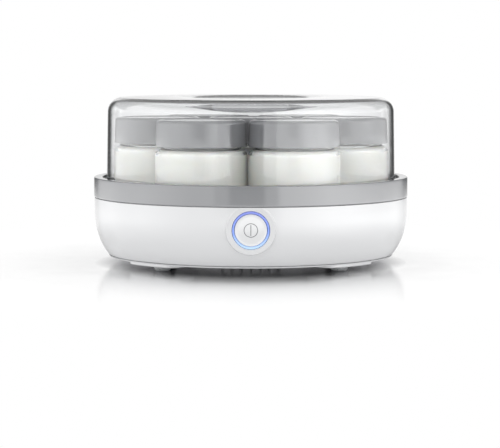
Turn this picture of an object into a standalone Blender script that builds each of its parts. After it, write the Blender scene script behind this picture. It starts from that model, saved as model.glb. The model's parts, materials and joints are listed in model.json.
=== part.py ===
"""Seven-jar yogurt maker: round heated base, clear lift-off cover, glass jars with screw lids.

The model stands on its four feet at z = 0, its axis is the Z axis and its power button faces -Y.
Lengths are written in millimetres and turned into metres where a mesh is made.
"""

import math

import bmesh
import bpy
from mathutils import Matrix, Vector

MM = 0.001
GAP = 0.3

# Base casing
RIM_RADIUS = 117.5
RIM_BOTTOM = 49.8
RIM_TOP = 64.6
LEDGE_TOP = 60.3
SHELL_RADIUS = 117.2
SHELL_BOTTOM = 7.2
SHELL_WALL = 2.4
SHELL_TUCK = 10.4
SHELL_TUCK_START = 46.0
SHELL_TUCK_POWER = 2.95
LAP_RADIUS = 114.2
LAP_TOP = 57.9

# Tub, with the jars' floor
TUB_RADIUS = 103.6
TUB_WALL = 2.0
TUB_FLOOR = 33.0
TUB_UNDERSIDE = TUB_FLOOR - TUB_WALL
LOCATOR_RADIUS = 4.6
LOCATOR_HEIGHT = 4.0

# Jars and lids
JAR_RING = 69.6
JAR_PAIR_ANGLE = 28.7
JAR_SET_TURN = -2.2
JAR_RADIUS = 33.2
JAR_WALL = 2.4
JAR_BOTTOM = TUB_FLOOR + GAP
JAR_SHOULDER = 84.4
NECK_RADIUS = 28.6
NECK_START = 89.0
NECK_TOP = 106.2
LID_RADIUS = 33.0
LID_TOP_RADIUS = 32.4
LID_BOTTOM = 89.6
LID_TOP = 108.8
LID_WALL = 2.0
LID_EDGE = 2.2

# Clear cover
COVER_BOTTOM = LEDGE_TOP + GAP
COVER_RADIUS = 107.9
COVER_SHOULDER_RADIUS = 107.1
COVER_FILLET = 10.8
COVER_TOP = 124.1
COVER_WALL = 2.0
DISH_RADIUS = 58.0
DISH_DEPTH = 8.4

# Power button, on the front
BUTTON_Z = 33.6
BUTTON_FACE = 117.2
BOSS_RADIUS = 17.0
BOSS_BACK = 112.4
BUTTON_HOLE = 13.4
LIGHT_RING_OUTER = 13.1
LIGHT_RING_INNER = 11.7
CAP_RADIUS = 11.4
GUIDE_SCREW_X = 18.0

# Underside
COVER_PLATE_BOTTOM = 5.7
COVER_PLATE_TOP = 8.3
PAD_BOTTOM = 4.0
PAD_CENTRE = 91.0
PAD_HALF_WIDTH = 25.0
PAD_HALF_DEPTH = 15.5
PAD_REACH = 106.2
FOOT_X = 64.0
FOOT_Y = 64.0
FOOT_RADIUS = 6.2
SCREW_RING = 97.0
SCREW_ANGLES = (20.0, 160.0, 200.0, 340.0)
POST_RADIUS = 3.8
POST_BOTTOM = 9.6

# Heater, under the tub's floor
PLATE_TOP = TUB_UNDERSIDE - GAP
PLATE_BOTTOM = PLATE_TOP - 1.2
MAT_TOP = PLATE_BOTTOM - GAP
MAT_BOTTOM = MAT_TOP - 0.8
SHIELD_TOP = MAT_BOTTOM - GAP
SHIELD_BOTTOM = SHIELD_TOP - 2.6

# Power board and cord gland, at the back
BOARD_Y = 55.0
BOARD_BOTTOM = 13.0
BOARD_TOP = BOARD_BOTTOM + 1.6
BOARD_SCREW_X = 27.0
GLAND_Z = 24.0
GLAND_PAD = 114.3
GLAND_HOLE = 5.0
GLAND_BORE = 3.5

ROUND_STEPS = 48
JAR_STEPS = 16
SMALL_STEPS = 12

FACING_FRONT = (math.pi / 2, 0.0, 0.0)
FACING_BACK = (-math.pi / 2, 0.0, 0.0)
SIDES = (("left", -1), ("right", 1))


def start_scene():
    for old in list(bpy.data.objects):
        bpy.data.objects.remove(old, do_unlink=True)
    collections = {}
    for name in ("yogurt_maker", "cutters"):
        collections[name] = bpy.data.collections.new(name)
        bpy.context.scene.collection.children.link(collections[name])
    return collections


COLLECTIONS = start_scene()


def material(name, colour, roughness, metallic=0.0, clear=0.0):
    made = bpy.data.materials.new(name)
    made.use_nodes = True
    shader = made.node_tree.nodes["Principled BSDF"]
    shader.inputs["Base Color"].default_value = (*colour, 1.0)
    shader.inputs["Roughness"].default_value = roughness
    shader.inputs["Metallic"].default_value = metallic
    shader.inputs["Transmission Weight"].default_value = clear
    made.diffuse_color = (*colour, 1.0)
    return made


WHITE = material("white_plastic", (0.86, 0.87, 0.88), 0.25)
GREY = material("grey_plastic", (0.38, 0.39, 0.41), 0.35)
CLEAR = material("clear_plastic", (0.97, 0.98, 0.98), 0.03, clear=1.0)
GLASS = material("jar_glass", (0.95, 0.97, 0.96), 0.02, clear=1.0)
RUBBER = material("foot_rubber", (0.45, 0.46, 0.47), 0.6)
LIGHT = material("light_guide", (0.55, 0.62, 0.85), 0.3, clear=0.4)
STEEL = material("zinc_steel", (0.62, 0.62, 0.6), 0.3, 1.0)
ALUMINIUM = material("aluminium", (0.8, 0.8, 0.8), 0.4, 1.0)
SILICONE = material("red_silicone", (0.5, 0.14, 0.09), 0.6)
FIBRE = material("mineral_board", (0.6, 0.56, 0.45), 0.9)
LAMINATE = material("green_laminate", (0.04, 0.22, 0.09), 0.4)
BLACK = material("black_plastic", (0.03, 0.03, 0.03), 0.4)
WIRE = material("wire_sleeve", (0.75, 0.75, 0.72), 0.5)


def finish(obj, look, group="yogurt_maker"):
    COLLECTIONS[group].objects.link(obj)
    if look:
        obj.data.materials.append(look)
    if group == "cutters":
        obj.hide_render = True
        obj.display_type = "WIRE"
    return obj


def place(obj, location=(0.0, 0.0, 0.0), rotation=(0.0, 0.0, 0.0)):
    obj.location = [MM * value for value in location]
    obj.rotation_euler = rotation
    return obj


def turned(name, profile, look, steps=ROUND_STEPS, closed=False, group="yogurt_maker"):
    """A solid of revolution about its own Z. The profile runs down its outer side."""
    mesh = bpy.data.meshes.new(name)
    points = [(MM * radius, 0.0, MM * height) for radius, height in profile]
    edges = [(n, n + 1) for n in range(len(points) - 1)]
    if closed:
        edges.append((len(points) - 1, 0))
    mesh.from_pydata(points, edges, [])
    obj = bpy.data.objects.new(name, mesh)
    screw = obj.modifiers.new("turn", "SCREW")
    screw.angle = 2 * math.pi
    screw.steps = steps
    screw.render_steps = steps
    screw.use_merge_vertices = True
    screw.merge_threshold = 0.00001
    screw.use_smooth_shade = True
    return finish(obj, look, group)


def cylinder(name, radius, bottom, top, look=None, steps=24, group="yogurt_maker"):
    profile = [(0, top), (radius, top), (radius, bottom), (0, bottom)]
    return turned(name, profile, look, steps, group=group)


def rod(name, radius, bottom, top, steps=SMALL_STEPS):
    """A small upright cylinder to cut with or to join on."""
    return cylinder(name, radius, bottom, top, None, steps, "cutters")


def box(name, low, high, look=None, bevel=0.0, group="yogurt_maker"):
    """A box between two corners, with its origin at its centre."""
    size = [MM * (b - a) for a, b in zip(low, high)]
    mesh = bpy.data.meshes.new(name)
    shape = bmesh.new()
    bmesh.ops.create_cube(shape, size=1.0, matrix=Matrix.Diagonal((*size, 1.0)))
    shape.to_mesh(mesh)
    shape.free()
    obj = finish(bpy.data.objects.new(name, mesh), look, group)
    if bevel:
        rounded = obj.modifiers.new("edges", "BEVEL")
        rounded.width = MM * bevel
        rounded.segments = 1
    return place(obj, [(a + b) / 2 for a, b in zip(low, high)])


def combine(obj, other, operation):
    """Adds a Boolean of another object, which goes with the cutters."""
    step = obj.modifiers.new(other.name, "BOOLEAN")
    step.operation = operation
    step.object = other
    step.solver = "EXACT"


def cut(obj, cutter):
    combine(obj, cutter, "DIFFERENCE")


def join(obj, addition):
    combine(obj, addition, "UNION")


def arc(centre, radius, start, end, count):
    """Points on an arc about (radius, height), between two angles in degrees."""
    angles = [math.radians(start + (end - start) * n / count) for n in range(count + 1)]
    return [(centre[0] + radius * math.cos(a), centre[1] + radius * math.sin(a)) for a in angles]


def offset(points, distance):
    """The profile moved inward, to the right of its direction. Points on the axis stay on it."""
    moved = []
    for n, (radius, height) in enumerate(points):
        sides = []
        for a, b in ((n - 1, n), (n, n + 1)):
            if a >= 0 and b < len(points):
                step = Vector(points[b]) - Vector(points[a])
                sides.append(Vector((step.y, -step.x)).normalized())
        normal = sum(sides, Vector((0.0, 0.0))).normalized()
        reach = distance / normal.dot(sides[0])
        moved.append((radius + normal.x * reach if radius else 0.0, height + normal.y * reach))
    return moved


def shell_radius(height):
    """The outer radius of the base at a height: nearly upright, then tucked in towards the floor."""
    fall = max(0.0, SHELL_TUCK_START - height) / (SHELL_TUCK_START - SHELL_BOTTOM + 0.2)
    return SHELL_RADIUS - SHELL_TUCK * fall**SHELL_TUCK_POWER


def shell_side(top, bottom, count):
    heights = [top + (bottom - top) * n / count for n in range(count + 1)]
    return [(shell_radius(height), height) for height in heights]


def front_cylinder(name, radius, back, front, x=0.0, steps=24):
    """A cutter or an addition about an axis along Y, on the front of the base."""
    obj = cylinder(name, radius, back, front, None, steps, "cutters")
    return place(obj, (x, 0.0, BUTTON_Z), FACING_FRONT)


def make_base_shell():
    outside = [(SHELL_RADIUS, RIM_BOTTOM - GAP)] + shell_side(38.0, SHELL_BOTTOM, 6)
    inside = offset(outside, SHELL_WALL)[1:]
    inside[-1] = (inside[-1][0], SHELL_BOTTOM)
    ledge = [
        (LAP_RADIUS - 2.3, 46.5),
        (LAP_RADIUS - 2.3, 52.6),
        (LAP_RADIUS - 4.7, 53.6),
        (LAP_RADIUS - 4.7, 55.3),
        (LAP_RADIUS - 2.3, 55.3),
        (LAP_RADIUS - 2.3, LAP_TOP),
    ]
    lap = [(LAP_RADIUS, LAP_TOP), (LAP_RADIUS, RIM_BOTTOM - GAP)]
    profile = lap + outside + inside[::-1] + ledge
    shell = turned("base_shell", profile, WHITE, closed=True)
    join(shell, front_cylinder("button_boss", BOSS_RADIUS, BOSS_BACK, BUTTON_FACE, steps=32))
    cut(shell, rim_clearance())
    cut(shell, front_cylinder("button_pocket", 15.0, 100.0, BOSS_BACK, steps=32))
    cut(shell, front_cylinder("button_hole", BUTTON_HOLE, 100.0, 125.0, steps=32))
    for label, side in SIDES:
        post = front_cylinder(f"guide_post_{label}", 3.0, 111.8, 114.4, side * GUIDE_SCREW_X, 12)
        join(shell, post)
        hole = front_cylinder(f"guide_pilot_{label}", 1.3, 100.0, 113.8, side * GUIDE_SCREW_X, 8)
        cut(shell, hole)
    join(shell, back_cylinder("gland_pad", 8.8, 110.5, GLAND_PAD))
    cut(shell, back_cylinder("gland_recess", 7.2, GLAND_PAD, 125.0))
    cut(shell, back_cylinder("gland_hole", GLAND_HOLE, 100.0, 125.0))
    return shell


def rim_clearance():
    """Keeps the button's boss below the grey rim."""
    profile = [(125.0, 70.0), (125.0, RIM_BOTTOM - GAP), (LAP_RADIUS, RIM_BOTTOM - GAP)]
    return turned("rim_clearance", profile + [(LAP_RADIUS, 70.0)], None, ROUND_STEPS, True, "cutters")


def back_cylinder(name, radius, inner, outer):
    obj = cylinder(name, radius, inner, outer, None, 20, "cutters")
    return place(obj, (0.0, 0.0, GLAND_Z), FACING_BACK)


def make_rim_band():
    profile = arc((RIM_RADIUS - 1.0, RIM_TOP - 1.0), 1.0, 90, 0, 2)
    profile += arc((RIM_RADIUS - 1.8, RIM_BOTTOM + 1.8), 1.8, 0, -90, 3)
    profile += [
        (LAP_RADIUS + 0.4, RIM_BOTTOM),
        (LAP_RADIUS + 0.4, LAP_TOP + GAP),
        (TUB_RADIUS + TUB_WALL + 0.4, LAP_TOP + GAP),
        (TUB_RADIUS + TUB_WALL + 0.4, LEDGE_TOP),
        (111.0, LEDGE_TOP),
        (111.0, RIM_TOP - 0.5),
        (111.5, RIM_TOP),
    ]
    return turned("rim_band", profile, GREY, closed=True)


def make_inner_tub():
    """The jars' tub: a flange under the rim, a floor with locating bosses, and screw posts below."""
    outer = TUB_RADIUS + TUB_WALL
    profile = [
        (TUB_RADIUS, LAP_TOP),
        (LAP_RADIUS - 2.6, LAP_TOP),
        (LAP_RADIUS - 2.6, 55.6),
        (outer, 55.6),
        (outer, TUB_UNDERSIDE + 3.0),
        (outer - 3.0, TUB_UNDERSIDE),
        (0, TUB_UNDERSIDE),
    ]
    inside = [(0, TUB_FLOOR), (TUB_RADIUS, TUB_FLOOR)]
    tub = turned("inner_tub", inside + profile, WHITE)
    for n, (x, y) in enumerate(locator_places()):
        boss = rod(f"jar_locator_{n + 1}", LOCATOR_RADIUS, TUB_FLOOR - 1.0, TUB_FLOOR + LOCATOR_HEIGHT)
        join(tub, place(boss, (x, y, 0.0)))
    for n, (x, y) in enumerate(screw_places()):
        post = rod(f"screw_post_{n + 1}", POST_RADIUS, POST_BOTTOM, TUB_UNDERSIDE + 0.5)
        join(tub, place(post, (x, y, 0.0)))
        pilot = rod(f"screw_pilot_{n + 1}", 1.7, POST_BOTTOM - 2.0, 25.0, 8)
        cut(tub, place(pilot, (x, y, 0.0)))
    return tub


def locator_places():
    """Between the middle jar and each two neighbours in the ring."""
    ring = list(jar_places().values())[1:]
    pairs = zip(ring, ring[1:] + ring[:1])
    return [((a[0] + b[0]) / 3, (a[1] + b[1]) / 3) for a, b in pairs]


def screw_places():
    angles = [math.radians(angle) for angle in SCREW_ANGLES]
    return [(SCREW_RING * math.cos(a), SCREW_RING * math.sin(a)) for a in angles]


def foot_places():
    return {
        "front_left": (-FOOT_X, -FOOT_Y),
        "front_right": (FOOT_X, -FOOT_Y),
        "rear_left": (-FOOT_X, FOOT_Y),
        "rear_right": (FOOT_X, FOOT_Y),
    }


def squared(value):
    """Pushes a circle's cosine or sine outward, for an outline between a circle and a rectangle."""
    return math.copysign(abs(value) ** 0.6, value)


def foot_pad(name, x, y):
    """A pad under the plate round its foot: wide along the plate's edge, round-cornered, trimmed to it."""
    mesh = bpy.data.meshes.new(name)
    shape = bmesh.new()
    outline = []
    outward = Vector((x, y)).normalized()
    along = Vector((outward.y, -outward.x))
    for n in range(24):
        angle = 2 * math.pi * n / 24
        side = PAD_HALF_WIDTH * squared(math.cos(angle))
        out = PAD_CENTRE + PAD_HALF_DEPTH * squared(math.sin(angle))
        corner = along * side + outward * out
        corner *= min(1.0, PAD_REACH / corner.length)
        outline.append(shape.verts.new((MM * corner.x, MM * corner.y, MM * PAD_BOTTOM)))
    face = shape.faces.new(outline)
    raised = bmesh.ops.extrude_face_region(shape, geom=[face])
    lifted = [item for item in raised["geom"] if isinstance(item, bmesh.types.BMVert)]
    bmesh.ops.translate(shape, verts=lifted, vec=(0.0, 0.0, MM * (COVER_PLATE_BOTTOM + 0.6 - PAD_BOTTOM)))
    bmesh.ops.recalc_face_normals(shape, faces=shape.faces)
    shape.to_mesh(mesh)
    shape.free()
    return finish(bpy.data.objects.new(name, mesh), None, "cutters")


def make_bottom_cover():
    """The floor plate: a lip under the shell, an upstand inside it, foot lugs and board posts."""
    profile = [
        (0, COVER_PLATE_TOP),
        (101.6, COVER_PLATE_TOP),
        (101.6, 12.0),
        (103.6, 12.0),
        (103.6, SHELL_BOTTOM - GAP),
        (106.9, SHELL_BOTTOM - GAP),
        (106.5, COVER_PLATE_BOTTOM + 0.4),
        (106.0, COVER_PLATE_BOTTOM),
        (0, COVER_PLATE_BOTTOM),
    ]
    plate = turned("bottom_cover", profile, WHITE)
    for label, (x, y) in foot_places().items():
        join(plate, foot_pad(f"foot_pad_{label}", x, y))
        hole = rod(f"foot_hole_{label}", 3.4, 0.0, 12.0)
        cut(plate, place(hole, (x, y, 0.0)))
    for n, (x, y) in enumerate(screw_places()):
        hole = rod(f"base_screw_hole_{n + 1}", 2.1, 0.0, 12.0)
        cut(plate, place(hole, (x, y, 0.0)))
        seat = rod(f"base_screw_seat_{n + 1}", 3.9, 0.0, COVER_PLATE_BOTTOM + 1.2)
        cut(plate, place(seat, (x, y, 0.0)))
    for label, side in SIDES:
        x = side * BOARD_SCREW_X
        post = rod(f"board_post_{label}", 3.2, COVER_PLATE_TOP - 0.6, BOARD_BOTTOM - GAP)
        join(plate, place(post, (x, BOARD_Y, 0.0)))
        pilot = rod(f"board_pilot_{label}", 1.4, COVER_PLATE_TOP + 0.2, 16.0, 8)
        cut(plate, place(pilot, (x, BOARD_Y, 0.0)))
    for n in range(7):
        x = 7.0 * (n - 3)
        cut(plate, box(f"vent_slot_{n + 1}", (x - 1.2, -16.0, 0.0), (x + 1.2, 16.0, 12.0), group="cutters"))
    return plate


def make_feet():
    profile = [
        (0, 10.2),
        (3.6, 10.2),
        (4.2, COVER_PLATE_TOP + GAP),
        (3.0, COVER_PLATE_TOP + GAP),
        (3.0, PAD_BOTTOM - GAP),
        (5.4, PAD_BOTTOM - GAP),
        (FOOT_RADIUS, 2.2),
        (5.6, 0.9),
        (4.2, 0.0),
        (0, 0.0),
    ]
    for label, (x, y) in foot_places().items():
        place(turned(f"foot_{label}", profile, RUBBER, SMALL_STEPS), (x, y, 0.0))


def screw(name, head_radius, head, shaft_radius, tip):
    """A screw about its own Z, its head's face at head and its point at tip, with a driver recess."""
    way = 1 if tip > head else -1
    profile = [
        (0, head + 0.6 * way),
        (0.9, head + 0.3 * way),
        (1.1, head),
        (head_radius - 0.4, head),
        (head_radius, head + 0.8 * way),
        (shaft_radius, head + 1.1 * way),
        (shaft_radius, tip - 1.2 * way),
        (0, tip),
    ]
    if way > 0:
        profile.reverse()
    return turned(name, profile, STEEL, 8)


def make_base_screws():
    for n, (x, y) in enumerate(screw_places()):
        place(screw(f"base_screw_{n + 1}", 3.4, COVER_PLATE_BOTTOM - 0.4, 1.4, 23.0), (x, y, 0.0))


def make_heater():
    cylinder("heat_plate", 92.0, PLATE_BOTTOM, PLATE_TOP, ALUMINIUM, 32)
    for name, inner, outer, bottom, top, look in (
        ("heating_mat", 34.0, 86.0, MAT_BOTTOM, MAT_TOP, SILICONE),
        ("heat_shield", 38.0, 88.0, SHIELD_BOTTOM, SHIELD_TOP, FIBRE),
    ):
        ring = [(outer, top), (outer, bottom), (inner, bottom), (inner, top)]
        turned(name, ring, look, 32, closed=True)
    body = [(0, MAT_TOP), (8.2, MAT_TOP), (8.2, 26.0), (7.0, 26.0), (7.0, 20.0), (0, 20.0)]
    thermostat = turned("thermostat", body, BLACK, 16)
    for label, side in SIDES:
        tab = box(
            f"thermostat_tab_{label}",
            (4.0 * side - 1.2, -1.6, 15.5),
            (4.0 * side + 1.2, 1.6, 20.5),
            group="cutters",
        )
        join(thermostat, tab)
    fuse = [(0, 6.0), (1.9, 5.4), (1.9, -5.4), (0, -6.0)]
    place(turned("thermal_fuse", fuse, WHITE, 10), (20.0, 0.0, 26.4), (0.0, math.pi / 2, 0.0))
    clip = box("fuse_clip", (17.0, -4.6, 23.0), (23.0, 4.6, MAT_TOP), ALUMINIUM, 0.4)
    groove = rod("fuse_groove", 2.3, -8.0, 8.0)
    cut(clip, place(groove, (20.0, 0.0, 26.4), (0.0, math.pi / 2, 0.0)))


def make_button():
    cap = [
        (0, BUTTON_FACE),
        (10.8, BUTTON_FACE),
        (CAP_RADIUS, 116.6),
        (CAP_RADIUS, 113.2),
        (9.8, 113.2),
        (9.8, 115.2),
        (2.4, 115.2),
        (2.4, 112.6),
        (0, 112.6),
    ]
    place(turned("button_cap", cap, WHITE, 32), (0.0, 0.0, BUTTON_Z), FACING_FRONT)
    ring = arc((LIGHT_RING_OUTER - 0.4, 117.0), 0.4, 90, 0, 1)
    ring += [(LIGHT_RING_OUTER, 110.0), (LIGHT_RING_INNER, 110.0), (LIGHT_RING_INNER, 117.4)]
    light = turned("light_ring", ring, LIGHT, 32, closed=True)
    place(light, (0.0, 0.0, BUTTON_Z), FACING_FRONT)
    make_button_guide()
    make_button_board()


def make_button_guide():
    ring = [(14.6, 112.1), (14.6, 107.7), (BUTTON_HOLE, 107.7), (BUTTON_HOLE, 112.1)]
    guide = turned("button_guide", ring, BLACK, 24, closed=True)
    place(guide, (0.0, 0.0, BUTTON_Z), FACING_FRONT)
    for label, side in SIDES:
        ear = box(
            f"guide_ear_{label}",
            (min(side * 14.0, side * 21.5), -111.4, BUTTON_Z - 3.6),
            (max(side * 14.0, side * 21.5), -107.7, BUTTON_Z + 3.6),
            group="cutters",
        )
        join(guide, ear)
        cut(guide, front_cylinder(f"ear_hole_{label}", 1.4, 100.0, 120.0, side * GUIDE_SCREW_X, 8))


def make_button_board():
    board = box("button_board", (-21.5, -107.4, 21.6), (21.5, -105.8, 45.6), LAMINATE)
    for label, side in SIDES:
        cut(board, front_cylinder(f"board_hole_{label}", 1.4, 100.0, 120.0, side * GUIDE_SCREW_X, 8))
        part = screw(f"guide_screw_{label}", 2.3, 104.4, 1.0, 113.4)
        place(part, (side * GUIDE_SCREW_X, 0.0, BUTTON_Z), FACING_FRONT)
    switch = box("push_switch", (-3.1, -111.0, BUTTON_Z - 3.1), (3.1, -107.7, BUTTON_Z + 3.1), BLACK, 0.3)
    cut(switch, front_cylinder("plunger_hole", 1.95, 108.2, 115.0, steps=12))
    plunger = [(0, 112.3), (1.3, 112.3), (1.6, 112.0), (1.6, 109.8), (0, 109.8)]
    place(turned("switch_plunger", plunger, BLACK, 12), (0.0, 0.0, BUTTON_Z), FACING_FRONT)
    for n in range(4):
        angle = math.radians(45 + 90 * n)
        x = 12.0 * math.cos(angle)
        z = BUTTON_Z + 12.0 * math.sin(angle)
        box(f"ring_led_{n + 1}", (x - 0.9, -109.4, z - 0.9), (x + 0.9, -107.7, z + 0.9), WHITE)


def make_power_board():
    low = (-32.0, BOARD_Y - 17.0, BOARD_BOTTOM)
    high = (32.0, BOARD_Y + 17.0, BOARD_TOP)
    board = box("power_board", low, high, LAMINATE)
    for label, side in SIDES:
        hole = rod(f"power_hole_{label}", 1.5, 10.0, 18.0, 8)
        cut(board, place(hole, (side * BOARD_SCREW_X, BOARD_Y, 0.0)))
        part = screw(f"board_screw_{label}", 2.6, BOARD_TOP + 1.4, 1.1, 9.2)
        place(part, (side * BOARD_SCREW_X, BOARD_Y, 0.0))
    above = BOARD_TOP + GAP
    can = [(0, above + 7.6), (3.7, above + 7.6), (4.0, above + 7.2), (4.0, above), (0, above)]
    place(turned("filter_capacitor", can, BLACK, 12), (17.0, BOARD_Y + 9.0, 0.0))
    box("relay", (-22.0, BOARD_Y + 2.0, above), (-6.0, BOARD_Y + 14.0, above + 8.6), BLACK, 0.5)
    low = (-8.0, BOARD_Y - 15.0, above)
    high = (8.0, BOARD_Y - 7.0, above + 7.4)
    block = box("terminal_block", low, high, WHITE, 0.4)
    for label, side in SIDES:
        well = rod(f"clamp_well_{label}", 1.6, above + 4.0, above + 12.0, 8)
        cut(block, place(well, (4.0 * side, BOARD_Y - 11.0, 0.0)))


def make_cord_gland():
    """The bush in the shell's back, open for a cord."""
    neck = GLAND_HOLE - GAP
    profile = [
        (GLAND_BORE + 0.4, 116.4),
        (6.0, 116.4),
        (6.8, 115.8),
        (6.8, GLAND_PAD + GAP),
        (neck, GLAND_PAD + GAP),
        (neck, 110.2),
        (6.4, 110.2),
        (6.4, 107.4),
        (GLAND_BORE, 107.4),
    ]
    gland = turned("cord_gland", profile, BLACK, 20, closed=True)
    return place(gland, (0.0, 0.0, GLAND_Z), FACING_BACK)


def smooth_route(points, per_span):
    """Points along a Catmull-Rom curve through the given ones."""
    ends = [Vector(point) for point in (points[0], *points, points[-1])]
    route = []
    for a, b, c, d in zip(ends, ends[1:], ends[2:], ends[3:]):
        slope = (c - a) / 2
        bend = a - 2.5 * b + 2 * c - d / 2
        twist = (3 * b - a - 3 * c + d) / 2
        for n in range(per_span):
            t = n / per_span
            route.append(b + slope * t + bend * t**2 + twist * t**3)
    return route + [ends[-1]]


def wire(name, points, radius):
    curve = bpy.data.curves.new(name, "CURVE")
    curve.dimensions = "3D"
    curve.bevel_depth = MM * radius
    curve.bevel_resolution = 2
    curve.use_fill_caps = True
    spline = curve.splines.new("POLY")
    route = smooth_route(points, 3)
    spline.points.add(len(route) - 1)
    for point, place_on_route in zip(spline.points, route):
        point.co = (*(place_on_route * MM), 1.0)
    return finish(bpy.data.objects.new(name, curve), WIRE)


def make_wires():
    for label, side in SIDES:
        lead = [
            (3.6 * side, BOARD_Y - 15.6, 18.2),
            (4.4 * side, BOARD_Y - 18.4, 18.4),
            (7.0 * side, 34.2, 20.4),
            (8.6 * side, 34.4, 24.2),
            (9.0 * side, 34.8, MAT_BOTTOM - GAP),
        ]
        wire(f"heater_lead_{label}", lead, 0.8)
    signal = [
        (-24.0, BOARD_Y - 17.4, 13.8),
        (-28.0, 26.0, 11.0),
        (-34.0, 0.0, 10.6),
        (-30.0, -45.0, 10.8),
        (-12.0, -84.0, 12.0),
        (-5.0, -96.0, 17.0),
        (-4.0, -102.4, 24.6),
        (-4.0, -104.8, 25.0),
    ]
    wire("signal_cable", signal, 1.0)


def cover_outside():
    """The clear cover's outer line, from the middle of its dish to its bottom edge."""
    line = []
    for n in range(7):
        share = n / 6
        rise = DISH_DEPTH * 0.5 * (1 - math.cos(math.pi * share**1.5))
        line.append((DISH_RADIUS * share, COVER_TOP - DISH_DEPTH + rise))
    fillet_centre = (COVER_SHOULDER_RADIUS - COVER_FILLET, COVER_TOP - 0.4 - COVER_FILLET)
    line += arc(fillet_centre, COVER_FILLET, 88, 0, 4)
    return line + [(COVER_RADIUS, COVER_BOTTOM)]


def make_cover():
    outside = cover_outside()
    inside = offset(outside, COVER_WALL)
    inside[-1] = (COVER_RADIUS - COVER_WALL, COVER_BOTTOM)
    return turned("cover", outside + inside[::-1], CLEAR)


def jar_places():
    """Each jar's label and the place of its axis: one in the middle and six around it.

    The two front jars stand close together, and the other four share the rest of the ring evenly.
    """
    places = {"centre": (0.0, 0.0)}
    step = (360 - 2 * JAR_PAIR_ANGLE) / 5
    for n in range(6):
        turn = math.radians(-90 + JAR_PAIR_ANGLE + step * n + JAR_SET_TURN)
        places[str(n + 1)] = (JAR_RING * math.cos(turn), JAR_RING * math.sin(turn))
    return places


def jar_profile():
    inner_neck = NECK_RADIUS - JAR_WALL
    inner_body = JAR_RADIUS - JAR_WALL
    inside = [(0, JAR_BOTTOM + 5.0), (inner_body - 3.0, JAR_BOTTOM + 4.0), (inner_body, JAR_BOTTOM + 7.0)]
    inside += [(inner_body, JAR_SHOULDER - 0.8), (inner_neck, NECK_START - 0.8), (inner_neck, NECK_TOP)]
    neck = [
        (NECK_RADIUS, NECK_TOP),
        (NECK_RADIUS, 98.4),
        (NECK_RADIUS + 1.4, 97.6),
        (NECK_RADIUS + 1.4, 96.6),
        (NECK_RADIUS, 95.8),
        (NECK_RADIUS, NECK_START),
    ]
    body = [(JAR_RADIUS - 1.2, JAR_SHOULDER + 2.4), (JAR_RADIUS, JAR_SHOULDER)]
    base = [(JAR_RADIUS, JAR_BOTTOM + 3.0), (JAR_RADIUS - 3.0, JAR_BOTTOM), (0, JAR_BOTTOM)]
    return inside + neck + body + base


def lid_profile():
    edge = arc((LID_TOP_RADIUS - LID_EDGE, LID_TOP - LID_EDGE), LID_EDGE, 90, 0, 2)
    inner = LID_RADIUS - LID_WALL
    return [(0, LID_TOP)] + edge + [
        (LID_RADIUS, LID_BOTTOM + 0.6),
        (LID_RADIUS - 0.5, LID_BOTTOM),
        (inner, LID_BOTTOM),
        (inner - 0.4, LID_TOP - 1.9),
        (0, LID_TOP - 1.9),
    ]


def make_jars():
    for label, (x, y) in jar_places().items():
        jar = place(turned(f"jar_{label}", jar_profile(), GLASS, JAR_STEPS), (x, y, 0.0))
        lid = turned(f"lid_{label}", lid_profile(), GREY, JAR_STEPS)
        lid.parent = jar


make_base_shell()
make_rim_band()
make_inner_tub()
make_bottom_cover()
make_feet()
make_base_screws()
make_heater()
make_button()
make_power_board()
make_cord_gland()
make_wires()
make_cover()
make_jars()
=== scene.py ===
"""Looks of the seven-jar yogurt maker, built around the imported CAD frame.

Lengths are written in millimetres, like the part's own, and turned into metres where a mesh is made.
"""

import json
import math

import bmesh
import bpy
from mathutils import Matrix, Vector


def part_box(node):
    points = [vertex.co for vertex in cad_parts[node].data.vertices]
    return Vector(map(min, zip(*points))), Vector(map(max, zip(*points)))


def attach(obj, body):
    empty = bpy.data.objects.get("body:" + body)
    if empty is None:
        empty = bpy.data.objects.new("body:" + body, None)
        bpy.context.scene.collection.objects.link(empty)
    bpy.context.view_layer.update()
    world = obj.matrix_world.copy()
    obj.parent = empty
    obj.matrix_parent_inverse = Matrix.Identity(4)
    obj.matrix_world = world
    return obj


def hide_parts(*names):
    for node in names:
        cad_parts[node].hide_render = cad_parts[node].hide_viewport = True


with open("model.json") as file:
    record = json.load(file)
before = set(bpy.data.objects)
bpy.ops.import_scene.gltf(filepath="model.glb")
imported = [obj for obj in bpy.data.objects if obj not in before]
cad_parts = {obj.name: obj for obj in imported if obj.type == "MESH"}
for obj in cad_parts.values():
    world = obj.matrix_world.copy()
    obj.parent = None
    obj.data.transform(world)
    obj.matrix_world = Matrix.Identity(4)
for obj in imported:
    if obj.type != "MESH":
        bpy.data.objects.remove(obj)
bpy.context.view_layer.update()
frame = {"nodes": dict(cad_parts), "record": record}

MM = 0.001


def node_box(node):
    """A CAD node's lowest and highest corners, in millimetres."""
    low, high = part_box(node)
    return [value / MM for value in low], [value / MM for value in high]


def node_centre(node):
    low, high = node_box(node)
    return (low[0] + high[0]) / 2, (low[1] + high[1]) / 2


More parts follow.
